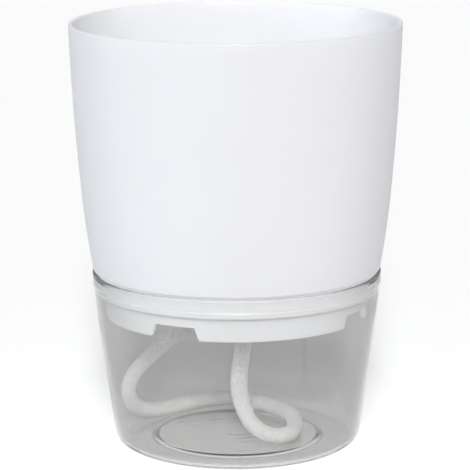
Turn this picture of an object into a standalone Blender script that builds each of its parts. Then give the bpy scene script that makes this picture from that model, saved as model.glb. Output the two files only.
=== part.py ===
"""Self-watering pot: a white planter that plugs into a clear water reservoir, and a cotton wick.

Metres, +Z up. The origin is the centre of the face that the reservoir stands on, and -Y is the
front. Three separate pieces: the planter lifts straight up off the reservoir, with the wick in it.
"""

import math

import bmesh
import bpy
import numpy as np
from mathutils import Matrix, Vector

# Facets round a turned piece, the longest turn between two points of a rounded corner, and the
# straight steps that a barrelled wall takes.
FACETS = 64
CORNER_STEP = math.radians(30)
RESERVOIR_WALL_STEPS = 4
PLANTER_WALL_STEPS = 8

# Gaps between neighbours: faces that touch, the collar in the cup, and the rope in its holes.
TOUCH_GAP = 0.0003
COLLAR_CLEARANCE = 0.0003
WICK_HOLE_CLEARANCE = 0.0005

# Reservoir: a thin clear cup with a barrelled wall. Radii are outer ones.
RESERVOIR_HEIGHT = 0.0686
RESERVOIR_BASE_RADIUS = 0.0475
RESERVOIR_TOP_RADIUS = 0.0561
RESERVOIR_BULGE = 0.0004
RESERVOIR_WALL = 0.0014
RESERVOIR_FOOT_CORNER = 0.0046
RIM_BEAD_HEIGHT = 0.0040
RIM_BEAD_DEPTH = 0.00015
RIM_EDGE = 0.0006
RESERVOIR_FLOOR_THICKNESS = 0.0016
PUSH_UP_RADIUS = 0.0327
PUSH_UP_HEIGHT = 0.0015
PUSH_UP_SLOPE = 0.0012

# Planter wall, from the lip down to the shoulder that rests on the cup's rim. It draws in a little
# more over its lowest part.
PLANTER_WALL_HEIGHT = 0.0966
PLANTER_TOP_RADIUS = 0.0641
PLANTER_BOTTOM_RADIUS = 0.0567
PLANTER_BULGE = 0.0011
PLANTER_TUCK = 0.0009
PLANTER_TUCK_HEIGHT = 0.0290
PLANTER_WALL = 0.0015
PLANTER_LIP_ROUND = 0.0007
PLANTER_LOWER_EDGE = 0.0010

# Collar with its bead, which fit inside the cup, and the notched skirt below them.
COLLAR_DEPTH = 0.0077
COLLAR_BEAD_HEIGHT = 0.0022
COLLAR_RELIEF = 0.0004
SKIRT_STEP = 0.0025
SKIRT_DEPTH = 0.0096
SKIRT_TAPER = 0.0004
SKIRT_WALL = 0.0018
SKIRT_FOOT_EDGE = 0.0005
NOTCH_COUNT = 4
NOTCH_FIRST_ANGLE = math.radians(-27.2)
NOTCH_HEIGHT = 0.0052
NOTCH_TOP_WIDTH = 0.0164
NOTCH_FOOT_WIDTH = 0.0198
NOTCH_CORNER = 0.0004
NOTCH_FLARE = 0.0015
NOTCH_FLARE_DROP = 0.0001

# Planter's floor, a little above the notches, with holes for air and spare water.
FLOOR_ABOVE_NOTCH = 0.0006
PLANTER_FLOOR_THICKNESS = 0.0018
FLOOR_FILLET = 0.0020
DRAIN_HOLE_COUNT = 8
DRAIN_HOLE_RADIUS = 0.0016
DRAIN_RING_RADIUS = 0.0300
DRAIN_FIRST_ANGLE = math.radians(-3.0)
DRAIN_HOLE_SIDES = 12

# Wick: one cotton rope. The holes lie opposite each other across the axis.
WICK_DIAMETER = 0.0062
WICK_HOLE_X = 0.0037
WICK_HOLE_Y = -0.0110
WICK_HOLE_SIDES = 24

# The wick's own route, chosen by hand. It starts at the end of the left tail, on the planter's
# floor, goes down through the rear hole, round the reservoir's floor, and up through the front one.
WICK_ROUTE = [
    (-0.0290, -0.0170, 0.0627),
    (-0.0366, -0.0055, 0.0627),
    (-0.0374, 0.0085, 0.0627),
    (-0.0300, 0.0212, 0.0645),
    (-0.0185, 0.0264, 0.0700),
    (-0.0095, 0.0230, 0.0730),
    (-0.0045, 0.0150, 0.0694),
    (-WICK_HOLE_X, -WICK_HOLE_Y, 0.0620),
    (-WICK_HOLE_X, -WICK_HOLE_Y, 0.0560),
    (-0.0056, 0.0108, 0.0493),
    (-0.0138, 0.0104, 0.0434),
    (-0.0245, 0.0100, 0.0393),
    (-0.0345, 0.0087, 0.0313),
    (-0.0418, 0.0073, 0.0234),
    (-0.0437, 0.0081, 0.0165),
    (-0.0418, 0.0127, 0.0101),
    (-0.0364, 0.0187, 0.0060),
    (-0.0280, 0.0251, 0.0052),
    (-0.0180, 0.0329, 0.0053),
    (-0.0080, 0.0371, 0.0055),
    (0.0012, 0.0347, 0.0064),
    (0.0078, 0.0284, 0.0067),
    (0.0150, 0.0207, 0.0066),
    (0.0207, 0.0112, 0.0066),
    (0.0225, -0.0008, 0.0066),
    (0.0215, -0.0128, 0.0066),
    (0.0179, -0.0204, 0.0068),
    (0.0118, -0.0230, 0.0079),
    (0.0060, -0.0212, 0.0113),
    (0.0022, -0.0173, 0.0174),
    (0.0007, -0.0149, 0.0256),
    (0.0019, -0.0129, 0.0375),
    (0.0034, -0.0114, 0.0480),
    (WICK_HOLE_X, WICK_HOLE_Y, 0.0560),
    (WICK_HOLE_X, WICK_HOLE_Y, 0.0620),
    (0.0046, -0.0150, 0.0694),
    (0.0098, -0.0224, 0.0730),
    (0.0188, -0.0260, 0.0702),
    (0.0302, -0.0209, 0.0644),
    (0.0375, -0.0084, 0.0627),
    (0.0370, 0.0060, 0.0627),
    (0.0308, 0.0160, 0.0627),
]
WICK_POINT_SPACING = 0.0062
WICK_ROUTE_STEPS = 24
WICK_SIDES_RESOLUTION = 3

# Heights that follow from the sizes above.
SHOULDER_Z = RESERVOIR_HEIGHT + TOUCH_GAP
LIP_Z = SHOULDER_Z + PLANTER_WALL_HEIGHT
COLLAR_FOOT_Z = SHOULDER_Z - COLLAR_DEPTH
SKIRT_FOOT_Z = COLLAR_FOOT_Z - SKIRT_DEPTH
FLOOR_UNDERSIDE_Z = SKIRT_FOOT_Z + NOTCH_HEIGHT + FLOOR_ABOVE_NOTCH
FLOOR_TOP_Z = FLOOR_UNDERSIDE_Z + PLANTER_FLOOR_THICKNESS


def barrel(low, high, bulge, share):
    """The radius at a share of a wall's height, for a wall that swells by bulge at mid-height."""
    return low + (high - low) * share + 4 * bulge * share * (1 - share)


def reservoir_outside(z):
    wall_top = RESERVOIR_HEIGHT - RIM_BEAD_HEIGHT
    return barrel(RESERVOIR_BASE_RADIUS, RESERVOIR_TOP_RADIUS, RESERVOIR_BULGE, z / wall_top)


def reservoir_inside(z):
    return reservoir_outside(z) - RESERVOIR_WALL


def planter_outside(z):
    share = (z - SHOULDER_Z) / PLANTER_WALL_HEIGHT
    tuck = max(0.0, 1 - (z - SHOULDER_Z) / PLANTER_TUCK_HEIGHT) ** 2 * PLANTER_TUCK
    return barrel(PLANTER_BOTTOM_RADIUS, PLANTER_TOP_RADIUS, PLANTER_BULGE, share) - tuck


def planter_inside(z):
    return planter_outside(z) - PLANTER_WALL


# Radii that follow from what the collar fits into.
COLLAR_TOP_RADIUS = reservoir_inside(RESERVOIR_HEIGHT - RIM_BEAD_HEIGHT) - COLLAR_CLEARANCE
COLLAR_FOOT_RADIUS = reservoir_inside(COLLAR_FOOT_Z) - COLLAR_CLEARANCE
SKIRT_RADIUS = COLLAR_FOOT_RADIUS - SKIRT_STEP
SKIRT_INSIDE = SKIRT_RADIUS - SKIRT_WALL


def wall_points(radius_at, start_z, end_z, steps):
    """Plain points along a wall, without its two ends."""
    heights = [start_z + (end_z - start_z) * i / steps for i in range(1, steps)]
    return [(radius_at(z), z, 0.0) for z in heights]


def rounded(outline):
    """Turns corners given as (radius, height, corner radius) into points, with an arc at each."""
    points = []
    for i, (x, z, corner) in enumerate(outline):
        if corner == 0.0:
            points.append((x, z))
            continue
        here = Vector((x, z))
        before = (Vector(outline[i - 1][:2]) - here).normalized()
        after = (Vector(outline[i + 1][:2]) - here).normalized()
        half = before.angle(after) / 2
        centre = here + (before + after).normalized() * (corner / math.sin(half))
        start = here + before * (corner / math.tan(half)) - centre
        turn = start.angle_signed(here + after * (corner / math.tan(half)) - centre)
        steps = max(1, math.ceil(abs(turn) / CORNER_STEP))
        for k in range(steps + 1):
            arm = start.copy()
            arm.rotate(Matrix.Rotation(-turn * k / steps, 2))
            points.append(tuple(centre + arm))
    return points


def clear_scene():
    for obj in list(bpy.data.objects):
        bpy.data.objects.remove(obj, do_unlink=True)


def new_collection(name):
    collection = bpy.data.collections.new(name)
    bpy.context.scene.collection.children.link(collection)
    return collection


def new_material(name, colour, roughness, alpha=1.0):
    material = bpy.data.materials.new(name)
    material.use_nodes = True
    shader = material.node_tree.nodes["Principled BSDF"]
    shader.inputs["Base Color"].default_value = (*colour, 1.0)
    shader.inputs["Roughness"].default_value = roughness
    shader.inputs["Metallic"].default_value = 0.0
    shader.inputs["Alpha"].default_value = alpha
    return material


def turned(name, profile, material, collection):
    """A body of revolution: the profile, seen at +X, starts and ends on the axis."""
    mesh = bpy.data.meshes.new(name)
    edges = [(i, i + 1) for i in range(len(profile) - 1)]
    mesh.from_pydata([(x, 0.0, z) for x, z in profile], edges, [])
    obj = bpy.data.objects.new(name, mesh)
    collection.objects.link(obj)
    screw = obj.modifiers.new("Turn", "SCREW")
    screw.axis = "Z"
    screw.steps = FACETS
    screw.render_steps = FACETS
    screw.use_merge_vertices = True
    screw.merge_threshold = 0.00001
    screw.use_smooth_shade = True
    mesh.materials.append(material)
    return obj


def cut(obj, cutter):
    boolean = obj.modifiers.new("Cut " + cutter.name, "BOOLEAN")
    boolean.operation = "DIFFERENCE"
    boolean.object = cutter


def cutter_object(name, mesh, collection):
    obj = bpy.data.objects.new(name, mesh)
    collection.objects.link(obj)
    obj.hide_render = True
    obj.display_type = "WIRE"
    return obj


def make_reservoir(collection):
    """The clear cup: outside of the wall and foot, the pushed-up floor, then the inside."""
    wall_top = RESERVOIR_HEIGHT - RIM_BEAD_HEIGHT
    bead = RESERVOIR_TOP_RADIUS + RIM_BEAD_DEPTH
    inner_floor = RESERVOIR_FLOOR_THICKNESS
    inner_corner = RESERVOIR_FOOT_CORNER - RESERVOIR_WALL
    rise_foot = PUSH_UP_RADIUS + PUSH_UP_SLOPE
    outline = [
        (0.0, inner_floor + PUSH_UP_HEIGHT, 0.0),
        (PUSH_UP_RADIUS, inner_floor + PUSH_UP_HEIGHT, 0.0),
        (rise_foot, inner_floor, 0.0),
        (reservoir_inside(inner_floor), inner_floor, inner_corner),
        *wall_points(reservoir_inside, inner_floor, wall_top, RESERVOIR_WALL_STEPS),
        (reservoir_inside(wall_top), wall_top, 0.0),
        (reservoir_inside(wall_top), RESERVOIR_HEIGHT, RIM_EDGE),
        (bead, RESERVOIR_HEIGHT, RIM_EDGE),
        (bead, wall_top, 0.0),
        (RESERVOIR_TOP_RADIUS, wall_top - RIM_BEAD_DEPTH, 0.0),
        *wall_points(reservoir_outside, wall_top, 0.0, RESERVOIR_WALL_STEPS),
        (reservoir_outside(0.0), 0.0, RESERVOIR_FOOT_CORNER),
        (rise_foot - RESERVOIR_FLOOR_THICKNESS / 2, 0.0, 0.0),
        (PUSH_UP_RADIUS - RESERVOIR_FLOOR_THICKNESS / 2, PUSH_UP_HEIGHT, 0.0),
        (0.0, PUSH_UP_HEIGHT, 0.0),
    ]
    clear = new_material("clear_plastic", (0.82, 0.86, 0.86), 0.06, alpha=0.3)
    return turned("reservoir", rounded(outline), clear, collection)


def planter_outline():
    """The planter's section, from the axis on top of the floor, over the lip, to the axis below."""
    bead_top_z = COLLAR_FOOT_Z + COLLAR_BEAD_HEIGHT
    bead_top_radius = reservoir_inside(bead_top_z) - COLLAR_CLEARANCE
    collar_inside = COLLAR_FOOT_RADIUS - COLLAR_RELIEF - PLANTER_WALL
    collar_top_inside = COLLAR_TOP_RADIUS - COLLAR_RELIEF - PLANTER_WALL
    step_z = COLLAR_FOOT_Z + PLANTER_WALL
    ledge_z = SHOULDER_Z + PLANTER_WALL
    return [
        (0.0, FLOOR_TOP_Z, 0.0),
        (SKIRT_INSIDE, FLOOR_TOP_Z, FLOOR_FILLET),
        (SKIRT_INSIDE, step_z, 0.0),
        (collar_inside, step_z + (collar_inside - SKIRT_INSIDE) / 2, 0.0),
        (collar_top_inside, ledge_z - PLANTER_WALL / 2, 0.0),
        (planter_inside(ledge_z), ledge_z + PLANTER_WALL / 2, 0.0),
        *wall_points(planter_inside, ledge_z + PLANTER_WALL / 2, LIP_Z, PLANTER_WALL_STEPS),
        (planter_inside(LIP_Z), LIP_Z, PLANTER_LIP_ROUND),
        (planter_outside(LIP_Z), LIP_Z, PLANTER_LIP_ROUND),
        *wall_points(planter_outside, LIP_Z, SHOULDER_Z, PLANTER_WALL_STEPS),
        (planter_outside(SHOULDER_Z), SHOULDER_Z, PLANTER_LOWER_EDGE),
        (COLLAR_TOP_RADIUS - COLLAR_RELIEF, SHOULDER_Z, 0.0),
        (bead_top_radius - COLLAR_RELIEF, bead_top_z + COLLAR_RELIEF, 0.0),
        (bead_top_radius, bead_top_z, 0.0),
        (COLLAR_FOOT_RADIUS, COLLAR_FOOT_Z, 0.0),
        (SKIRT_RADIUS, COLLAR_FOOT_Z, 0.0),
        (SKIRT_RADIUS - SKIRT_TAPER, SKIRT_FOOT_Z, SKIRT_FOOT_EDGE),
        (SKIRT_INSIDE - SKIRT_TAPER, SKIRT_FOOT_Z, SKIRT_FOOT_EDGE),
        (SKIRT_INSIDE, FLOOR_UNDERSIDE_Z, 0.0),
        (0.0, FLOOR_UNDERSIDE_Z, 0.0),
    ]


def notch_prism(angle):
    """A trapezoid with rounded corners and flared feet, that runs out through the skirt at an angle."""
    outer = COLLAR_FOOT_RADIUS
    inner = SKIRT_INSIDE - SKIRT_TAPER - SKIRT_WALL
    flare_z = SKIRT_FOOT_Z - NOTCH_FLARE_DROP
    reach = NOTCH_FOOT_WIDTH / 2 + NOTCH_FLARE
    right_half = [
        (NOTCH_TOP_WIDTH / 2, SKIRT_FOOT_Z + NOTCH_HEIGHT, NOTCH_CORNER),
        (NOTCH_FOOT_WIDTH / 2, flare_z, NOTCH_FLARE),
        (reach, flare_z, 0.0),
        (reach, SKIRT_FOOT_Z - NOTCH_HEIGHT, 0.0),
    ]
    left_half = [(-x, z, corner) for x, z, corner in reversed(right_half)]
    bm = bmesh.new()
    face = bm.faces.new([bm.verts.new((x, -outer, z)) for x, z in rounded(left_half + right_half)])
    through = bmesh.ops.extrude_face_region(bm, geom=[face])["geom"]
    far_side = [item for item in through if isinstance(item, bmesh.types.BMVert)]
    bmesh.ops.translate(bm, verts=far_side, vec=(0.0, outer - inner, 0.0))
    bmesh.ops.recalc_face_normals(bm, faces=bm.faces)
    bmesh.ops.rotate(bm, verts=bm.verts, matrix=Matrix.Rotation(angle, 3, "Z"))
    mesh = bpy.data.meshes.new("notch")
    bm.to_mesh(mesh)
    bm.free()
    return mesh


def notch_cutter(collection):
    """One prism for each notch, in one cutter."""
    whole = bmesh.new()
    for i in range(NOTCH_COUNT):
        prism = notch_prism(NOTCH_FIRST_ANGLE + 2 * math.pi * i / NOTCH_COUNT)
        whole.from_mesh(prism)
        bpy.data.meshes.remove(prism)
    mesh = bpy.data.meshes.new("notch_cutter")
    whole.to_mesh(mesh)
    whole.free()
    return cutter_object("notch_cutter", mesh, collection)


def hole_cutter(name, places, radius, sides, collection):
    """Upright cylinders that run through the planter's floor at the places given."""
    bm = bmesh.new()
    height = 3 * PLANTER_FLOOR_THICKNESS
    middle_z = (FLOOR_TOP_Z + FLOOR_UNDERSIDE_Z) / 2
    for x, y in places:
        bmesh.ops.create_cone(
            bm, cap_ends=True, segments=sides, radius1=radius, radius2=radius, depth=height,
            matrix=Matrix.Translation((x, y, middle_z)),
        )
    mesh = bpy.data.meshes.new(name)
    bm.to_mesh(mesh)
    bm.free()
    return cutter_object(name, mesh, collection)


def make_planter(collection, cutters):
    white = new_material("white_plastic", (0.86, 0.86, 0.88), 0.35)
    planter = turned("planter", rounded(planter_outline()), white, collection)
    cut(planter, notch_cutter(cutters))
    wick_holes = [(WICK_HOLE_X, WICK_HOLE_Y), (-WICK_HOLE_X, -WICK_HOLE_Y)]
    wick_hole_radius = WICK_DIAMETER / 2 + WICK_HOLE_CLEARANCE
    cut(planter, hole_cutter("wick_hole_cutter", wick_holes, wick_hole_radius, WICK_HOLE_SIDES, cutters))
    angles = [DRAIN_FIRST_ANGLE + 2 * math.pi * i / DRAIN_HOLE_COUNT for i in range(DRAIN_HOLE_COUNT)]
    drains = [(DRAIN_RING_RADIUS * math.cos(a), DRAIN_RING_RADIUS * math.sin(a)) for a in angles]
    cut(planter, hole_cutter("drain_hole_cutter", drains, DRAIN_HOLE_RADIUS, DRAIN_HOLE_SIDES, cutters))
    return planter


def smooth_route(points, spacing):
    """Evenly spaced points on the natural cubic curve through the given points."""
    points = np.array(points)
    knots = np.concatenate([[0.0], np.cumsum(np.linalg.norm(np.diff(points, axis=0), axis=1) ** 0.5)])
    gaps = np.diff(knots)
    count = len(points)
    matrix = np.identity(count)
    right = np.zeros((count, 3))
    for i in range(1, count - 1):
        matrix[i, i - 1 : i + 2] = gaps[i - 1], 2 * (gaps[i - 1] + gaps[i]), gaps[i]
        right[i] = (points[i + 1] - points[i]) / gaps[i] - (points[i] - points[i - 1]) / gaps[i - 1]
    bends = np.linalg.solve(matrix, 6 * right)
    fine = []
    for i, gap in enumerate(gaps):
        for share in np.linspace(0.0, 1.0, WICK_ROUTE_STEPS, endpoint=False):
            a, b = 1 - share, share
            curve = ((a**3 - a) * bends[i] + (b**3 - b) * bends[i + 1]) * gap**2 / 6
            fine.append(a * points[i] + b * points[i + 1] + curve)
    fine = np.array(fine + [points[-1]])
    along = np.concatenate([[0.0], np.cumsum(np.linalg.norm(np.diff(fine, axis=0), axis=1))])
    places = np.linspace(0.0, along[-1], round(along[-1] / spacing) + 1)
    return np.stack([np.interp(places, along, fine[:, k]) for k in range(3)], axis=1)


def make_wick(collection):
    """The rope, as a plain round tube along its whole length."""
    route = smooth_route(WICK_ROUTE, WICK_POINT_SPACING)
    curve = bpy.data.curves.new("wick", "CURVE")
    curve.dimensions = "3D"
    curve.bevel_depth = WICK_DIAMETER / 2
    curve.bevel_resolution = WICK_SIDES_RESOLUTION
    curve.use_fill_caps = True
    spline = curve.splines.new("POLY")
    spline.points.add(len(route) - 1)
    for point, place in zip(spline.points, route):
        point.co = (*place, 1.0)
    spline.use_smooth = True
    obj = bpy.data.objects.new("wick", curve)
    collection.objects.link(obj)
    curve.materials.append(new_material("cotton", (0.85, 0.85, 0.83), 0.95))
    return obj


def main():
    clear_scene()
    parts = new_collection("self_watering_pot")
    cutters = new_collection("cutters")
    make_reservoir(parts)
    planter = make_planter(parts, cutters)
    wick = make_wick(parts)
    lift = bpy.data.objects.new("planter_lift", None)
    parts.objects.link(lift)
    for obj in (planter, wick):
        obj.parent = lift


main()
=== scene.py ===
import math

import bmesh
import bpy
import numpy as np
from mathutils import Matrix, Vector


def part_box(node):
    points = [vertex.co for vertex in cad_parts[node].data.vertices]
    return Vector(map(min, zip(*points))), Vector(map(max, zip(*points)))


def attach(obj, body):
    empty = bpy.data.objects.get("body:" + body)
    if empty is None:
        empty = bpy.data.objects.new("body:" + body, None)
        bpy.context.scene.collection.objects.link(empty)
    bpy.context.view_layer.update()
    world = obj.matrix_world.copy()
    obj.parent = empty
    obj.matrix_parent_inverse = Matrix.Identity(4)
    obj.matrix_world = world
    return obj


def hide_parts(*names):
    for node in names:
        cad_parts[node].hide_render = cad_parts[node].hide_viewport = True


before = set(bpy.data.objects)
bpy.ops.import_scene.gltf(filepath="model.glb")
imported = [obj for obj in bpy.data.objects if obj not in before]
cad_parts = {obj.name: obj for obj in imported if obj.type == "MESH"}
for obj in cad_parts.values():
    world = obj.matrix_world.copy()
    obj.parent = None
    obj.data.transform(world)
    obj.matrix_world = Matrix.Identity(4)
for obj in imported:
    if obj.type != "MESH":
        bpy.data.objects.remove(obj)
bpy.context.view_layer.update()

# The view. A long lens stands about a metre in front of the pot and above its lip, and looks down
# just far enough for the mouth to show as a narrow oval.
CAMERA_PLACE = (-0.0006, -0.991, 0.2936)
CAMERA_TILT = math.radians(12.07)
CAMERA_ROLL = math.radians(-0.31)
FOCAL_LENGTH_PIXELS = 2600
PHOTO_WIDTH_PIXELS = 470

lens = bpy.data.cameras.new("view")
lens.lens = lens.sensor_width * FOCAL_LENGTH_PIXELS / PHOTO_WIDTH_PIXELS
camera = bpy.data.objects.new("view", lens)
camera.matrix_world = (
    Matrix.Translation(CAMERA_PLACE)
    @ Matrix.Rotation(math.pi / 2 - CAMERA_TILT, 4, "X")
    @ Matrix.Rotation(CAMERA_ROLL, 4, "Z")
)
bpy.context.scene.collection.objects.link(camera)
bpy.context.scene.camera = camera

# The wick. One rope of white cotton, 6.2 mm thick, braided from sixteen strands on a soft core. It
# goes down through one hole in the planter's floor, lies in a loop on the cup's floor, and comes up
# through the other hole. Both tails lie curled on the planter's floor, cut square.
WICK_DIAMETER = 0.0062
WICK_HOLE_X = 0.0037
WICK_HOLE_Y = -0.0110
WICK_ROUTE = [
    (-0.0290, -0.0170, 0.0627),
    (-0.0366, -0.0055, 0.0627),
    (-0.0374, 0.0085, 0.0627),
    (-0.0300, 0.0212, 0.0645),
    (-0.0185, 0.0264, 0.0700),
    (-0.0095, 0.0230, 0.0730),
    (-0.0045, 0.0150, 0.0694),
    (-WICK_HOLE_X, -WICK_HOLE_Y, 0.0620),
    (-WICK_HOLE_X, -WICK_HOLE_Y, 0.0560),
    (-0.0056, 0.0108, 0.0493),
    (-0.0138, 0.0104, 0.0434),
    (-0.0245, 0.0100, 0.0393),
    (-0.0345, 0.0087, 0.0313),
    (-0.0418, 0.0073, 0.0234),
    (-0.0437, 0.0081, 0.0165),
    (-0.0418, 0.0127, 0.0101),
    (-0.0364, 0.0187, 0.0060),
    (-0.0280, 0.0251, 0.0052),
    (-0.0180, 0.0329, 0.0053),
    (-0.0080, 0.0371, 0.0055),
    (0.0012, 0.0347, 0.0064),
    (0.0078, 0.0284, 0.0067),
    (0.0150, 0.0207, 0.0066),
    (0.0207, 0.0112, 0.0066),
    (0.0225, -0.0008, 0.0066),
    (0.0215, -0.0128, 0.0066),
    (0.0179, -0.0204, 0.0068),
    (0.0118, -0.0230, 0.0079),
    (0.0060, -0.0212, 0.0113),
    (0.0022, -0.0173, 0.0174),
    (0.0007, -0.0149, 0.0256),
    (0.0019, -0.0129, 0.0375),
    (0.0034, -0.0114, 0.0480),
    (WICK_HOLE_X, WICK_HOLE_Y, 0.0560),
    (WICK_HOLE_X, WICK_HOLE_Y, 0.0620),
    (0.0046, -0.0150, 0.0694),
    (0.0098, -0.0224, 0.0730),
    (0.0188, -0.0260, 0.0702),
    (0.0302, -0.0209, 0.0644),
    (0.0375, -0.0084, 0.0627),
    (0.0370, 0.0060, 0.0627),
    (0.0308, 0.0160, 0.0627),
]
STRANDS_EACH_WAY = 8
BRAID_PITCH = 0.0150
STRAND_LIFT = 0.00020
STRAND_CROWN = 0.00045
RING_SPACING = 0.00035
RING_SIDES = 72
CUT_END_RINGS = 5
CUT_END_DOME = 0.0006
CUT_END_SPREAD = 0.05
CUT_END_SPREAD_LENGTH = 0.0030
# The braid is loose and thicker round one place, and a little lumpy all along.
LOOSE_MIDDLE = (0.0007, -0.0146, 0.0275)
LOOSE_SWELLING = 0.12
LOOSE_LENGTH = 0.0120
LUMP_SIZE = 0.014
# For each set of lumps: how many in a turn round the rope, their distance along it, their start.
LUMPS = [(1, 0.0071, 0.0), (2, 0.0043, 2.0), (1, 0.0027, 4.0)]
MERGE_DISTANCE = 1e-6


def smooth_route(points, spacing, steps=24):
    """Evenly spaced points on the natural cubic curve through the given points."""
    points = np.array(points)
    knots = np.concatenate([[0.0], np.cumsum(np.linalg.norm(np.diff(points, axis=0), axis=1) ** 0.5)])
    gaps = np.diff(knots)
    count = len(points)
    matrix = np.identity(count)
    right = np.zeros((count, 3))
    for i in range(1, count - 1):
        matrix[i, i - 1 : i + 2] = gaps[i - 1], 2 * (gaps[i - 1] + gaps[i]), gaps[i]
        right[i] = (points[i + 1] - points[i]) / gaps[i] - (points[i] - points[i - 1]) / gaps[i - 1]
    bends = np.linalg.solve(matrix, 6 * right)
    fine = []
    for i, gap in enumerate(gaps):
        for b in np.linspace(0.0, 1.0, steps, endpoint=False):
            a = 1 - b
            curve = ((a**3 - a) * bends[i] + (b**3 - b) * bends[i + 1]) * gap**2 / 6
            fine.append(a * points[i] + b * points[i + 1] + curve)
    fine = np.array(fine + [points[-1]])
    along = np.concatenate([[0.0], np.cumsum(np.linalg.norm(np.diff(fine, axis=0), axis=1))])
    places = np.linspace(0.0, along[-1], round(along[-1] / spacing) + 1)
    return np.stack([np.interp(places, along, fine[:, k]) for k in range(3)], axis=1)


def carried_frames(centres):
    """At each centre, the way ahead and two directions across it, turned no more than the bends do."""
    ahead = np.gradient(centres, axis=0)
    ahead /= np.linalg.norm(ahead, axis=1)[:, None]
    side = np.cross(ahead[0], (0.0, 0.0, 1.0))
    sides = []
    for way in ahead:
        side = side - way * side.dot(way)
        side = side / np.linalg.norm(side)
        sides.append(side)
    sides = np.array(sides)
    return ahead, sides, np.cross(ahead, sides)


def braid_lift(turn, pitches):
    """How far the upper strand stands out, for a share of a turn round the rope and pitches along it."""
    heights = []
    for own, other in ((turn - pitches, turn + pitches), (turn + pitches, turn - pitches)):
        own, other = own * STRANDS_EACH_WAY, other * STRANDS_EACH_WAY
        across = own - np.round(own)
        weave = np.cos(math.pi * (other - np.round(own)))
        crown = np.sqrt(np.maximum(0.0, 1 - (2 * across) ** 2))
        heights.append((weave, crown))
    (weave_right, crown_right), (weave_left, crown_left) = heights
    return np.maximum(
        STRAND_LIFT * weave_right + STRAND_CROWN * crown_right,
        -STRAND_LIFT * weave_left + STRAND_CROWN * crown_left,
    )


route = smooth_route(WICK_ROUTE, RING_SPACING)
rows = len(route) - 1 + 2 * CUT_END_RINGS
grid = bmesh.new()
bmesh.ops.create_grid(grid, x_segments=RING_SIDES, y_segments=rows, size=0.5)
wick_mesh = bpy.data.meshes.new("wick_rope")
grid.to_mesh(wick_mesh)
grid.free()

flat = np.zeros(len(wick_mesh.vertices) * 3)
wick_mesh.vertices.foreach_get("co", flat)
flat = flat.reshape(-1, 3)
turn = flat[:, 0] + 0.5
row = np.round((flat[:, 1] + 0.5) * rows)
ring = np.clip(row - CUT_END_RINGS, 0, len(route) - 1).astype(int)
pitches = ring * RING_SPACING / BRAID_PITCH
open_share = np.minimum(1.0, np.minimum(row, rows - row) / CUT_END_RINGS)
from_end = np.minimum(ring, len(route) - 1 - ring) * RING_SPACING
radius = WICK_DIAMETER / 2 - STRAND_LIFT - STRAND_CROWN + braid_lift(turn, pitches)
radius *= open_share * (1 + CUT_END_SPREAD * np.exp(-from_end / CUT_END_SPREAD_LENGTH))
loose_ring = np.argmin(np.linalg.norm(route - LOOSE_MIDDLE, axis=1))
from_loose = (ring - loose_ring) * RING_SPACING / LOOSE_LENGTH
radius *= 1 + LOOSE_SWELLING * np.exp(-(from_loose**2))
for in_a_turn, distance, start in LUMPS:
    phase = 2 * math.pi * (in_a_turn * turn + ring * RING_SPACING / distance) + start
    radius *= 1 + LUMP_SIZE * np.sin(phase)
ahead, across, upward = carried_frames(route)
outward = np.where(row < rows / 2, -1.0, 1.0) * CUT_END_DOME * (1 - open_share**2)
angle = 2 * math.pi * turn
rope_points = (
    route[ring]
    + ahead[ring] * outward[:, None]
    + across[ring] * (radius * np.cos(angle))[:, None]
    + upward[ring] * (radius * np.sin(angle))[:, None]
)
corner_points = np.zeros(len(wick_mesh.loops), int)
wick_mesh.loops.foreach_get("vertex_index", corner_points)
lay = np.stack([turn, (row - CUT_END_RINGS) * RING_SPACING / BRAID_PITCH], axis=1)
wick_mesh.uv_layers.new(name="lay").data.foreach_set("uv", lay[corner_points].ravel())
wick_mesh.vertices.foreach_set("co", rope_points.ravel())

closing = bmesh.new()
closing.from_mesh(wick_mesh)
bmesh.ops.remove_doubles(closing, verts=closing.verts, dist=MERGE_DISTANCE)
bmesh.ops.recalc_face_normals(closing, faces=closing.faces)
closing.to_mesh(wick_mesh)
closing.free()
wick_mesh.shade_smooth()
wick = bpy.data.objects.new("wick_rope", wick_mesh)
bpy.context.scene.collection.objects.link(wick)


class Value:
    """One output of a finish's nodes. Arithmetic on it adds Math nodes."""

    def __init__(self, finish, socket):
        self.finish = finish
        self.socket = socket

    def maths(self, operation, *others):
        sockets = dict(enumerate((self, *others)))
        return self.finish.node("ShaderNodeMath", {"operation": operation}, sockets)

    def __add__(self, other):
        return self.maths("ADD", other)

    def __sub__(self, other):
        return self.maths("SUBTRACT", other)

    def __rsub__(self, other):
        return self.finish.node("ShaderNodeMath", {"operation": "SUBTRACT"}, {0: other, 1: self})

    def __mul__(self, other):
        return self.maths("MULTIPLY", other)

    __radd__ = __add__
    __rmul__ = __mul__


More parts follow.
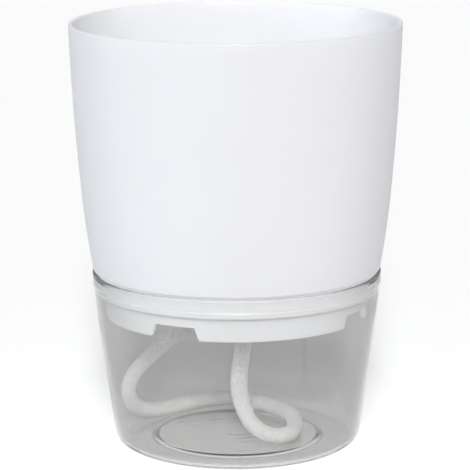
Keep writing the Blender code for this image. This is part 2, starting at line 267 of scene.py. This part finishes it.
class Finish:
    """The nodes of a material, or of the sky, with one method that adds any node."""

    def __init__(self, owner):
        owner.use_nodes = True
        self.owner = owner
        self.nodes = owner.node_tree.nodes
        self.skin = self.nodes.get("Principled BSDF")

    def feed(self, socket, value):
        if isinstance(value, Value):
            self.owner.node_tree.links.new(value.socket, socket)
        else:
            socket.default_value = value

    def node(self, kind, settings=None, sockets=None, output=0):
        """Adds a node, with its settings first and then the values or links of its sockets.

        Sockets and the output go by name, or by number where a node has several of one name.
        """
        node = self.nodes.new(kind)
        for name, value in (settings or {}).items():
            setattr(node, name, value)
        for name, value in (sockets or {}).items():
            self.feed(node.inputs[name], value)
        return Value(self, node.outputs[output])

    def skin_with(self, **sockets):
        """Sets the Principled shader's sockets, named with underscores for spaces."""
        for name, value in sockets.items():
            self.feed(self.skin.inputs[name.replace("_", " ")], value)

    def mixed(self, share, first, second):
        """A colour between two, by a share."""
        sockets = {"Factor": share, 6: first, 7: second}
        return self.node("ShaderNodeMix", {"data_type": "RGBA"}, sockets, output=2)

    def noise(self, place, scale, detail=2.0, roughness=0.5):
        sockets = {"Vector": place, "Scale": scale, "Detail": detail, "Roughness": roughness}
        return self.node("ShaderNodeTexNoise", None, sockets)

    def bump(self, height, distance, strength=1.0, normal=None):
        sockets = {"Height": height, "Distance": distance, "Strength": strength}
        if normal is not None:
            sockets["Normal"] = normal
        return self.node("ShaderNodeBump", None, sockets)


COTTON_COLOUR = (0.95, 0.95, 0.94, 1.0)
# The cotton's darker colour is used twice: as painted shade in the braid's grooves, and for darker
# fibres.
COTTON_PAINTED_SHADE_AND_DARK_FIBRES = (0.62, 0.62, 0.605, 1.0)
YARNS_IN_A_STRAND = 3
YARN_HEIGHT = 0.00010
FIBRE_HEIGHT = 0.00045
FIBRE_SCALE = 1500.0
PATCH_SCALE = 90.0
GROOVE_PAINTED_SHADE_CONTRAST = 0.55
FIBRE_CONTRAST = 1.3
PATCH_CONTRAST = 0.25
DARKENING = 0.38

cotton = Finish(bpy.data.materials.new("braided_cotton"))
lay = cotton.node("ShaderNodeUVMap", {"uv_map": "lay"})
turns = cotton.node("ShaderNodeSeparateXYZ", None, {0: lay}, output="X")
pitches = cotton.node("ShaderNodeSeparateXYZ", None, {0: lay}, output="Y")
right_hand = (turns - pitches) * STRANDS_EACH_WAY
left_hand = (turns + pitches) * STRANDS_EACH_WAY
strand_heights = []
for own, other, over in ((right_hand, left_hand, 1), (left_hand, right_hand, -1)):
    middle = own.maths("ROUND")
    across = own - middle
    weave = ((other - middle) * math.pi).maths("COSINE")
    crown = (1 - across * across * 4).maths("SQRT")
    strand_heights.append((across, weave * (over * STRAND_LIFT) + crown * STRAND_CROWN))
(across_right, height_right), (across_left, height_left) = strand_heights
right_on_top = height_right.maths("GREATER_THAN", height_left)
across = across_right * right_on_top + across_left * (1 - right_on_top)
height = height_right.maths("MAXIMUM", height_left)
raised = (height + STRAND_LIFT) * (1 / (2 * STRAND_LIFT + STRAND_CROWN))
yarns = (across * (2 * math.pi * YARNS_IN_A_STRAND)).maths("COSINE")
place = cotton.node("ShaderNodeTexCoord", output="Object")
fibres = cotton.noise(place, FIBRE_SCALE, 3.0, 0.7)
patches = cotton.noise(place, PATCH_SCALE, 3.0, 0.6)
# Painted shade: the colour darkens where a strand sinks under its neighbours. The fibres and patches add
# tone that differs at random.
light = raised * GROOVE_PAINTED_SHADE_CONTRAST + fibres * FIBRE_CONTRAST + patches * PATCH_CONTRAST - DARKENING
fibre_bump = cotton.bump(fibres, FIBRE_HEIGHT)
cotton.skin_with(
    Base_Color=cotton.mixed(light.maths("MINIMUM", 1.0), COTTON_PAINTED_SHADE_AND_DARK_FIBRES, COTTON_COLOUR),
    Roughness=0.92 + patches * 0.08,
    Specular_IOR_Level=0.15,
    Sheen_Weight=0.35,
    Sheen_Roughness=0.5,
    Normal=cotton.bump(yarns, YARN_HEIGHT, 0.6, fibre_bump),
)
wick_mesh.materials.append(cotton.owner)

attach(wick, "planter")
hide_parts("wick")

# The reservoir. A clear cup, moulded in one piece with a wall of 1.4 mm: a beaded rim that the
# planter rests on, a wall that swells a little, a rounded foot, and a floor whose round middle is
# pushed up off the table.
RESERVOIR_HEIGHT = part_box("reservoir")[1].z
RIM_BEAD_HEIGHT = 0.0040
RIM_BEAD_DEPTH = 0.00015
RIM_EDGE = 0.0006
RESERVOIR_TOP_RADIUS = 0.0561
RESERVOIR_BASE_RADIUS = 0.0475
RESERVOIR_BULGE = 0.0004
RESERVOIR_WALL = 0.0014
RESERVOIR_FOOT_CORNER = 0.0046
RESERVOIR_FLOOR = 0.0016
PUSH_UP_RADIUS = 0.0327
PUSH_UP_HEIGHT = 0.0012
PUSH_UP_SLOPE = 0.0010
PUSH_UP_CORNER = 0.0003
RESERVOIR_WALL_TOP = RESERVOIR_HEIGHT - RIM_BEAD_HEIGHT
WALL_STEPS = 16
SPIN_STEPS = 256
CORNER_SEGMENTS = 6
SHARP_ANGLE = math.radians(40)


def barrel(low, high, bulge, share):
    """The radius at a share of a wall's height, for a wall that swells by bulge at mid-height."""
    return low + (high - low) * share + 4 * bulge * share * (1 - share)


def reservoir_outside(z):
    share = z / RESERVOIR_WALL_TOP
    return barrel(RESERVOIR_BASE_RADIUS, RESERVOIR_TOP_RADIUS, RESERVOIR_BULGE, share)


def reservoir_inside(z):
    return reservoir_outside(z) - RESERVOIR_WALL


def wall(radius_at, start, end):
    """Points along a wall between two heights, without its ends."""
    heights = [start + (end - start) * i / WALL_STEPS for i in range(1, WALL_STEPS)]
    return [(radius_at(z), z, 0) for z in heights]


def draw_line(bm, outline, y, closed=False):
    """Draws a line through points of x, z and corner rounding, at one y, and rounds its corners."""
    points = [bm.verts.new((x, y, z)) for x, z, _ in outline]
    for start, end in zip(points, points[1:] + points[:1] if closed else points[1:]):
        bm.edges.new((start, end))
    for point, (_, _, corner) in zip(points, outline):
        if corner:
            bmesh.ops.bevel(
                bm, geom=[point], offset=corner, offset_type="OFFSET", segments=CORNER_SEGMENTS,
                profile=0.5, affect="VERTICES", material=-1,
            )


def turned(name, outline):
    """A solid turned round the pot's axis from points of radius, height and corner rounding."""
    bm = bmesh.new()
    draw_line(bm, outline, 0)
    bmesh.ops.spin(
        bm, geom=bm.verts[:] + bm.edges[:], cent=(0, 0, 0), axis=(0, 0, 1), angle=2 * math.pi,
        steps=SPIN_STEPS, use_merge=True,
    )
    bmesh.ops.remove_doubles(bm, verts=bm.verts, dist=MERGE_DISTANCE)
    bmesh.ops.recalc_face_normals(bm, faces=bm.faces)
    mesh = bpy.data.meshes.new(name)
    bm.to_mesh(mesh)
    bm.free()
    piece = bpy.data.objects.new(name, mesh)
    bpy.context.scene.collection.objects.link(piece)
    return piece


def smooth(piece):
    piece.data.shade_smooth()
    piece.data.set_sharp_from_angle(angle=SHARP_ANGLE)


inner_corner = RESERVOIR_FOOT_CORNER - RESERVOIR_WALL
rise_foot = PUSH_UP_RADIUS + PUSH_UP_SLOPE
bead = RESERVOIR_TOP_RADIUS + RIM_BEAD_DEPTH
reservoir = turned(
    "reservoir_cup",
    [
        (0.0, RESERVOIR_FLOOR + PUSH_UP_HEIGHT, 0),
        (PUSH_UP_RADIUS, RESERVOIR_FLOOR + PUSH_UP_HEIGHT, PUSH_UP_CORNER),
        (rise_foot, RESERVOIR_FLOOR, PUSH_UP_CORNER),
        (reservoir_inside(RESERVOIR_FLOOR), RESERVOIR_FLOOR, inner_corner),
        *wall(reservoir_inside, RESERVOIR_FLOOR + inner_corner, RESERVOIR_WALL_TOP),
        (reservoir_inside(RESERVOIR_WALL_TOP), RESERVOIR_WALL_TOP, 0),
        (reservoir_inside(RESERVOIR_WALL_TOP), RESERVOIR_HEIGHT, RIM_EDGE),
        (bead, RESERVOIR_HEIGHT, RIM_EDGE),
        (bead, RESERVOIR_WALL_TOP, 0),
        (RESERVOIR_TOP_RADIUS, RESERVOIR_WALL_TOP - RIM_BEAD_DEPTH, 0),
        *wall(reservoir_outside, RESERVOIR_WALL_TOP - RIM_BEAD_DEPTH, RESERVOIR_FOOT_CORNER),
        (reservoir_outside(0.0), 0.0, RESERVOIR_FOOT_CORNER),
        (rise_foot - RESERVOIR_FLOOR, 0.0, PUSH_UP_CORNER),
        (PUSH_UP_RADIUS - RESERVOIR_FLOOR, PUSH_UP_HEIGHT, PUSH_UP_CORNER),
        (0.0, PUSH_UP_HEIGHT, 0),
    ],
)
smooth(reservoir)

CLEAR_TINT = (0.75, 0.75, 0.745, 1.0)
CLEAR_EDGE_PAINTED_SHADE_TINT = (0.13, 0.132, 0.127, 1.0)
PAINTED_HIGHLIGHT_RIM_TINT = (1.0, 1.0, 1.0, 1.0)
CLEAR_ROUGHNESS = 0.03
MATT_RIM_ROUGHNESS = 0.5
MATT_AND_PAINTED_HIGHLIGHT_RIM_HEIGHT = 0.0005
CLEAR_IOR = 1.57
WAVE_SCALE = 30.0
WAVE_HEIGHT = 0.0006
WAVE_STRENGTH = 0.4
SWIRL_SCALE = 60.0
SWIRL_DISTORTION = 9.0
SWIRL_HEIGHT = 0.00010
SWIRL_STRENGTH = 0.4
SWIRLS_BELOW = 0.006
SWIRL_PATCH_SCALE = 70.0
SWIRL_PATCH_LIMIT = 0.55
LAMP_LIGHT_TINT = (0.995, 0.995, 0.99, 1.0)

# The plastic's skin is faintly wavy, with marks of its flow on the floor, and matt on top of the rim,
# where it is also left untinted as a painted highlight.
clear = Finish(bpy.data.materials.new("clear_plastic"))
place = clear.node("ShaderNodeTexCoord", output="Object")
waves = clear.noise(place, WAVE_SCALE, 1.0)
swirls = clear.node(
    "ShaderNodeTexWave",
    {"wave_type": "RINGS", "rings_direction": "SPHERICAL"},
    {
        "Vector": place, "Scale": SWIRL_SCALE, "Distortion": SWIRL_DISTORTION,
        "Detail": 2.0, "Detail Scale": 0.5,
    },
)
up = clear.node("ShaderNodeSeparateXYZ", None, {0: place}, output="Z")
on_floor = (1 - up * (1 / SWIRLS_BELOW)).maths("MAXIMUM", 0.0)
in_places = clear.noise(place, SWIRL_PATCH_SCALE, 1.0).maths("GREATER_THAN", SWIRL_PATCH_LIMIT)
swirl_bump = clear.bump(swirls * on_floor * in_places, SWIRL_HEIGHT, SWIRL_STRENGTH)
# The tint grows much darker where the wall is seen aslant. A little of that is the longer path through
# tinted plastic. The rest is painted shade that carries the grey of the pot's shadow, seen through the
# cup, out to its sides.
aslant = clear.node("ShaderNodeLayerWeight", None, {"Blend": 0.5}, output="Facing")
tint = clear.mixed(aslant * aslant, CLEAR_TINT, CLEAR_EDGE_PAINTED_SHADE_TINT)
# The top half millimetre of the rim is matt, and it is left untinted as a painted highlight.
on_rim = up.maths("GREATER_THAN", RESERVOIR_HEIGHT - MATT_AND_PAINTED_HIGHLIGHT_RIM_HEIGHT)
clear.skin_with(
    Base_Color=clear.mixed(on_rim, tint, PAINTED_HIGHLIGHT_RIM_TINT),
    Roughness=CLEAR_ROUGHNESS + on_rim * MATT_RIM_ROUGHNESS,
    IOR=CLEAR_IOR,
    Transmission_Weight=1.0,
    Normal=clear.bump(waves, WAVE_HEIGHT, WAVE_STRENGTH, swirl_bump),
)
# The lamps' light and stray light pass straight through the cup, so it throws no black shadow.
lamp_light = clear.node("ShaderNodeBsdfTransparent", None, {"Color": LAMP_LIGHT_TINT})
surface = Value(clear, clear.skin.outputs[0])
for kind_of_ray in ("Is Diffuse Ray", "Is Shadow Ray"):
    ray = clear.node("ShaderNodeLightPath", output=kind_of_ray)
    surface = clear.node("ShaderNodeMixShader", None, {0: ray, 1: surface, 2: lamp_light})
clear.feed(clear.nodes["Material Output"].inputs["Surface"], surface)
reservoir.data.materials.append(clear.owner)

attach(reservoir, "reservoir")
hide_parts("reservoir")

# The planter. One moulding in white polypropylene, 1.5 mm thick, with a thin rounded lip. Below its
# shoulder a collar plugs into the cup, and a skirt with four rounded notches stands round the floor,
# which has two holes for the wick and a ring of small ones for air.
PLANTER_LOW, PLANTER_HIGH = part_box("planter")
LIP_Z = PLANTER_HIGH.z
PLANTER_TOP_RADIUS = 0.0641
SKIRT_FOOT_Z = PLANTER_LOW.z
SHOULDER_GAP = 0.0003
SHOULDER_Z = RESERVOIR_HEIGHT + SHOULDER_GAP
PLANTER_BOTTOM_RADIUS = 0.0567
PLANTER_BULGE = 0.0011
PLANTER_TUCK = 0.0009
PLANTER_TUCK_HEIGHT = 0.0290
PLANTER_WALL = 0.0015
PLANTER_LIP_ROUND = 0.0007
PLANTER_LOWER_EDGE = 0.0014
PLANTER_INNER_ROUND = 0.0008
COLLAR_CLEARANCE = 0.0003
COLLAR_DEPTH = 0.0077
COLLAR_BEAD_HEIGHT = 0.0022
COLLAR_RELIEF = 0.0004
COLLAR_EDGE = 0.0002
COLLAR_FOOT_EDGE = 0.0003
SKIRT_STEP = 0.0025
SKIRT_TAPER = 0.0004
SKIRT_WALL = 0.0018
SKIRT_ROOT_ROUND = 0.0004
SKIRT_FOOT_EDGE = 0.0006
FLOOR_ABOVE_NOTCH = 0.0006
PLANTER_FLOOR = 0.0018
FLOOR_FILLET = 0.0020
FLOOR_UNDERSIDE_ROUND = 0.0005
NOTCH_COUNT = 4
NOTCH_FIRST_ANGLE = math.radians(-27.2)
NOTCH_HEIGHT = 0.0052
NOTCH_TOP_WIDTH = 0.0164
NOTCH_FOOT_WIDTH = 0.0198
NOTCH_CORNER = 0.0003
NOTCH_FLARE = 0.0011
NOTCH_FLARE_DROP = 0.0001
NOTCH_FLARE_REACH = 1.5
WICK_HOLE_CLEARANCE = 0.0005
WICK_HOLE_SIDES = 48
DRAIN_HOLE_COUNT = 8
DRAIN_HOLE_RADIUS = 0.0016
DRAIN_HOLE_SIDES = 32
DRAIN_RING_RADIUS = 0.0300
DRAIN_FIRST_ANGLE = math.radians(-3.0)

COLLAR_FOOT_Z = SHOULDER_Z - COLLAR_DEPTH
COLLAR_TOP_RADIUS = reservoir_inside(RESERVOIR_WALL_TOP) - COLLAR_CLEARANCE
COLLAR_FOOT_RADIUS = reservoir_inside(COLLAR_FOOT_Z) - COLLAR_CLEARANCE
SKIRT_RADIUS = COLLAR_FOOT_RADIUS - SKIRT_STEP
SKIRT_INSIDE = SKIRT_RADIUS - SKIRT_WALL
FLOOR_UNDERSIDE_Z = SKIRT_FOOT_Z + NOTCH_HEIGHT + FLOOR_ABOVE_NOTCH
FLOOR_TOP_Z = FLOOR_UNDERSIDE_Z + PLANTER_FLOOR


def planter_outside(z):
    share = (z - SHOULDER_Z) / (LIP_Z - SHOULDER_Z)
    tuck = max(0.0, 1 - (z - SHOULDER_Z) / PLANTER_TUCK_HEIGHT) ** 2 * PLANTER_TUCK
    return barrel(PLANTER_BOTTOM_RADIUS, PLANTER_TOP_RADIUS, PLANTER_BULGE, share) - tuck


def planter_inside(z):
    return planter_outside(z) - PLANTER_WALL


bead_top_z = COLLAR_FOOT_Z + COLLAR_BEAD_HEIGHT
bead_top_radius = reservoir_inside(bead_top_z) - COLLAR_CLEARANCE
collar_inside = COLLAR_FOOT_RADIUS - COLLAR_RELIEF - PLANTER_WALL
collar_top_inside = COLLAR_TOP_RADIUS - COLLAR_RELIEF - PLANTER_WALL
step_z = COLLAR_FOOT_Z + PLANTER_WALL
ledge_z = SHOULDER_Z + PLANTER_WALL
planter = turned(
    "planter_pot",
    [
        (0.0, FLOOR_TOP_Z, 0),
        (SKIRT_INSIDE, FLOOR_TOP_Z, FLOOR_FILLET),
        (SKIRT_INSIDE, step_z, PLANTER_INNER_ROUND),
        (collar_inside, step_z + (collar_inside - SKIRT_INSIDE) / 2, PLANTER_INNER_ROUND),
        (collar_top_inside, ledge_z - PLANTER_WALL / 2, PLANTER_INNER_ROUND),
        (planter_inside(ledge_z), ledge_z + PLANTER_WALL / 2, PLANTER_INNER_ROUND),
        *wall(planter_inside, ledge_z + PLANTER_WALL, LIP_Z - PLANTER_LIP_ROUND),
        (planter_inside(LIP_Z), LIP_Z, PLANTER_LIP_ROUND),
        (planter_outside(LIP_Z), LIP_Z, PLANTER_LIP_ROUND),
        *wall(planter_outside, LIP_Z - PLANTER_LIP_ROUND, SHOULDER_Z + PLANTER_LOWER_EDGE),
        (planter_outside(SHOULDER_Z), SHOULDER_Z, PLANTER_LOWER_EDGE),
        (COLLAR_TOP_RADIUS - COLLAR_RELIEF, SHOULDER_Z, COLLAR_EDGE),
        (bead_top_radius - COLLAR_RELIEF, bead_top_z + COLLAR_RELIEF, COLLAR_EDGE),
        (bead_top_radius, bead_top_z, COLLAR_EDGE),
        (COLLAR_FOOT_RADIUS, COLLAR_FOOT_Z, COLLAR_FOOT_EDGE),
        (SKIRT_RADIUS, COLLAR_FOOT_Z, SKIRT_ROOT_ROUND),
        (SKIRT_RADIUS - SKIRT_TAPER, SKIRT_FOOT_Z, SKIRT_FOOT_EDGE),
        (SKIRT_INSIDE - SKIRT_TAPER, SKIRT_FOOT_Z, SKIRT_FOOT_EDGE),
        (SKIRT_INSIDE, FLOOR_UNDERSIDE_Z, FLOOR_UNDERSIDE_ROUND),
        (0.0, FLOOR_UNDERSIDE_Z, 0),
    ],
)


def add_notch(bm, angle):
    """A trapezoid with rounded corners and flared feet, that runs out through the skirt at an angle."""
    flare_z = SKIRT_FOOT_Z - NOTCH_FLARE_DROP
    reach = NOTCH_FOOT_WIDTH / 2 + NOTCH_FLARE_REACH * NOTCH_FLARE
    half = [
        (NOTCH_TOP_WIDTH / 2, SKIRT_FOOT_Z + NOTCH_HEIGHT, NOTCH_CORNER),
        (NOTCH_FOOT_WIDTH / 2, flare_z, NOTCH_FLARE),
        (reach, flare_z, 0),
        (reach, SKIRT_FOOT_Z - NOTCH_HEIGHT, 0),
    ]
    outline = [(-x, z, corner) for x, z, corner in reversed(half)] + half
    notch = bmesh.new()
    draw_line(notch, outline, -COLLAR_FOOT_RADIUS, closed=True)
    face = bmesh.ops.edgeloop_fill(notch, edges=notch.edges[:])["faces"]
    through = bmesh.ops.extrude_face_region(notch, geom=face)["geom"]
    inner_side = [item for item in through if isinstance(item, bmesh.types.BMVert)]
    depth = COLLAR_FOOT_RADIUS - SKIRT_INSIDE + SKIRT_TAPER + SKIRT_WALL
    bmesh.ops.translate(notch, verts=inner_side, vec=(0, depth, 0))
    bmesh.ops.recalc_face_normals(notch, faces=notch.faces)
    bmesh.ops.rotate(notch, verts=notch.verts, matrix=Matrix.Rotation(angle, 3, "Z"))
    prism = bpy.data.meshes.new("notch")
    notch.to_mesh(prism)
    notch.free()
    bm.from_mesh(prism)
    bpy.data.meshes.remove(prism)


def add_hole(bm, x, y, radius, sides):
    """A round rod through the floor."""
    middle = Matrix.Translation((x, y, (FLOOR_TOP_Z + FLOOR_UNDERSIDE_Z) / 2))
    bmesh.ops.create_cone(
        bm, cap_ends=True, segments=sides, radius1=radius, radius2=radius, depth=3 * PLANTER_FLOOR,
        matrix=middle,
    )


cutter_mesh = bpy.data.meshes.new("openings")
openings = bmesh.new()
for i in range(NOTCH_COUNT):
    add_notch(openings, NOTCH_FIRST_ANGLE + 2 * math.pi * i / NOTCH_COUNT)
for side in (1, -1):
    hole_radius = WICK_DIAMETER / 2 + WICK_HOLE_CLEARANCE
    add_hole(openings, side * WICK_HOLE_X, side * WICK_HOLE_Y, hole_radius, WICK_HOLE_SIDES)
for i in range(DRAIN_HOLE_COUNT):
    angle = DRAIN_FIRST_ANGLE + 2 * math.pi * i / DRAIN_HOLE_COUNT
    x, y = DRAIN_RING_RADIUS * math.cos(angle), DRAIN_RING_RADIUS * math.sin(angle)
    add_hole(openings, x, y, DRAIN_HOLE_RADIUS, DRAIN_HOLE_SIDES)
openings.to_mesh(cutter_mesh)
openings.free()
cutter = bpy.data.objects.new("openings", cutter_mesh)
bpy.context.scene.collection.objects.link(cutter)
cut = planter.modifiers.new("openings", "BOOLEAN")
cut.object = cutter
planter.data = bpy.data.meshes.new_from_object(
    planter.evaluated_get(bpy.context.evaluated_depsgraph_get())
)
planter.modifiers.clear()
bpy.data.objects.remove(cutter)
smooth(planter)

WHITE_COLOUR = (0.755, 0.757, 0.785)
WHITE_ROUGHNESS = 0.36
# A brighter copy of the white, painted light for the inside of the pot and the skirt.
PAINTED_LIGHT_WHITE_COLOUR = (0.91, 0.915, 0.945)
POLISHED_WHITE_ROUGHNESS = 0.28
CLOUDINESS = 0.975
CLOUD_SCALE = 30.0
GRAIN_SCALE = 1800.0
GRAIN_HEIGHT = 0.00002
FLOW_SCALE = 140.0
FLOW_ROUGHNESS = 0.12
LEVEL_TOLERANCE = 1e-5


def white_plastic(name, colour, roughness):
    """White polypropylene, faintly cloudy, with the fine grain and flow of its mould."""
    white = Finish(bpy.data.materials.new(name))
    place = white.node("ShaderNodeTexCoord", output="Object")
    cloudy = white.noise(place, CLOUD_SCALE, 3.0)
    grain = white.noise(place, GRAIN_SCALE, 2.0)
    flow = white.noise(place, FLOW_SCALE, 2.0)
    shade = [part * CLOUDINESS for part in colour]
    white.skin_with(
        Base_Color=white.mixed(cloudy, (*shade, 1.0), (*colour, 1.0)),
        Roughness=roughness + flow * FLOW_ROUGHNESS,
        Specular_IOR_Level=0.4,
        Subsurface_Weight=0.3,
        Subsurface_Radius=(1.0, 0.95, 0.9),
        Subsurface_Scale=0.004,
        Normal=white.bump(grain + flow * 2, GRAIN_HEIGHT, 0.6),
    )
    return white.owner


# Inside the pot and on the skirt the white is brighter and smoother. The brighter colour is painted
# light: it stands in for more light there.
for finish in (
    white_plastic("white_polypropylene", WHITE_COLOUR, WHITE_ROUGHNESS),
    white_plastic("white_polypropylene_painted_light", PAINTED_LIGHT_WHITE_COLOUR, POLISHED_WHITE_ROUGHNESS),
):
    planter.data.materials.append(finish)
# Faces inside the pot and on the skirt take the brighter, painted-light copy.
for face in planter.data.polygons:
    faces_axis = face.center.x * face.normal.x + face.center.y * face.normal.y < 0
    over_floor = face.center.z > FLOOR_TOP_Z - LEVEL_TOLERANCE
    inside = over_floor and (faces_axis or face.center.z < SHOULDER_Z)
    if inside or face.center.z < COLLAR_FOOT_Z - LEVEL_TOLERANCE:
        face.material_index = 1

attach(planter, "planter")
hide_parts("planter")

# The studio. A pale floor that keeps the pot's shadow, before a white backdrop. Soft lamps stand above
# one another in front, from high up to nearly level, with a broad one at each side and one behind.
FLOOR_COLOUR = (0.98, 0.98, 0.98, 1.0)
FLOOR_GLOW = 0.26
FLOOR_SIZE = 8.0
# For each lamp: its name, strength, width in degrees and colour, and the degrees that it stands from
# straight above and round from the front, to the right.
LAMPS = [
    ("front_top", 0.34, 6.0, (1.0, 1.0, 1.0), (30.0, 0.0)),
    ("front_high", 0.22, 6.0, (1.0, 1.0, 1.0), (40.0, 0.0)),
    ("front_middle", 0.45, 8.0, (1.0, 1.0, 1.0), (50.0, 0.0)),
    ("front_low", 1.20, 8.0, (1.0, 1.0, 1.0), (60.0, 0.0)),
    ("front_lowest", 0.76, 8.0, (1.0, 1.0, 1.0), (70.0, 0.0)),
    ("left", 0.95, 20.0, (0.88, 0.95, 1.0), (78.0, -85.0)),
    ("right", 0.50, 20.0, (1.0, 1.0, 1.0), (78.0, 85.0)),
    ("rear", 0.35, 4.0, (1.0, 1.0, 1.0), (50.0, 180.0)),
]
BACKDROP_STRENGTH = 1.0
SKY_STRENGTH = 0.04

ground = bmesh.new()
bmesh.ops.create_grid(ground, x_segments=1, y_segments=1, size=FLOOR_SIZE / 2)
floor_mesh = bpy.data.meshes.new("studio_floor")
ground.to_mesh(floor_mesh)
ground.free()
floor = bpy.data.objects.new("studio_floor", floor_mesh)
bpy.context.scene.collection.objects.link(floor)


def seen_share(finish):
    """1 for what the eye sees, straight, mirrored or through clear plastic, and 0 for stray light."""
    straight, mirrored, through = (
        finish.node("ShaderNodeLightPath", output=f"Is {kind} Ray")
        for kind in ("Camera", "Glossy", "Transmission")
    )
    return (straight + mirrored + through).maths("MINIMUM", 1.0)


pale = Finish(bpy.data.materials.new("pale_floor"))
glow = pale.mixed(seen_share(pale), (0.0, 0.0, 0.0, 1.0), (FLOOR_GLOW, FLOOR_GLOW, FLOOR_GLOW, 1.0))
pale.skin_with(
    Base_Color=FLOOR_COLOUR,
    Roughness=0.9,
    Specular_IOR_Level=0.0,
    Emission_Color=glow,
    Emission_Strength=1.0,
)
floor_mesh.materials.append(pale.owner)

for name, strength, width, colour, (from_above, around) in LAMPS:
    lamp = bpy.data.lights.new(name, "SUN")
    lamp.energy = strength
    lamp.angle = math.radians(width)
    lamp.color = colour
    lamp.cycles.use_multiple_importance_sampling = False
    holder = bpy.data.objects.new(name, lamp)
    holder.matrix_world = (
        Matrix.Rotation(math.radians(around), 4, "Z")
        @ Matrix.Rotation(math.radians(from_above), 4, "X")
    )
    bpy.context.scene.collection.objects.link(holder)

sky = Finish(bpy.data.worlds.new("studio"))
backdrop = sky.nodes["Background"]
backdrop.inputs["Color"].default_value = (1.0, 1.0, 1.0, 1.0)
strength = SKY_STRENGTH + seen_share(sky) * (BACKDROP_STRENGTH - SKY_STRENGTH)
sky.feed(backdrop.inputs["Strength"], strength)
bpy.context.scene.world = sky.owner
bpy.context.scene.view_settings.view_transform = "Standard"
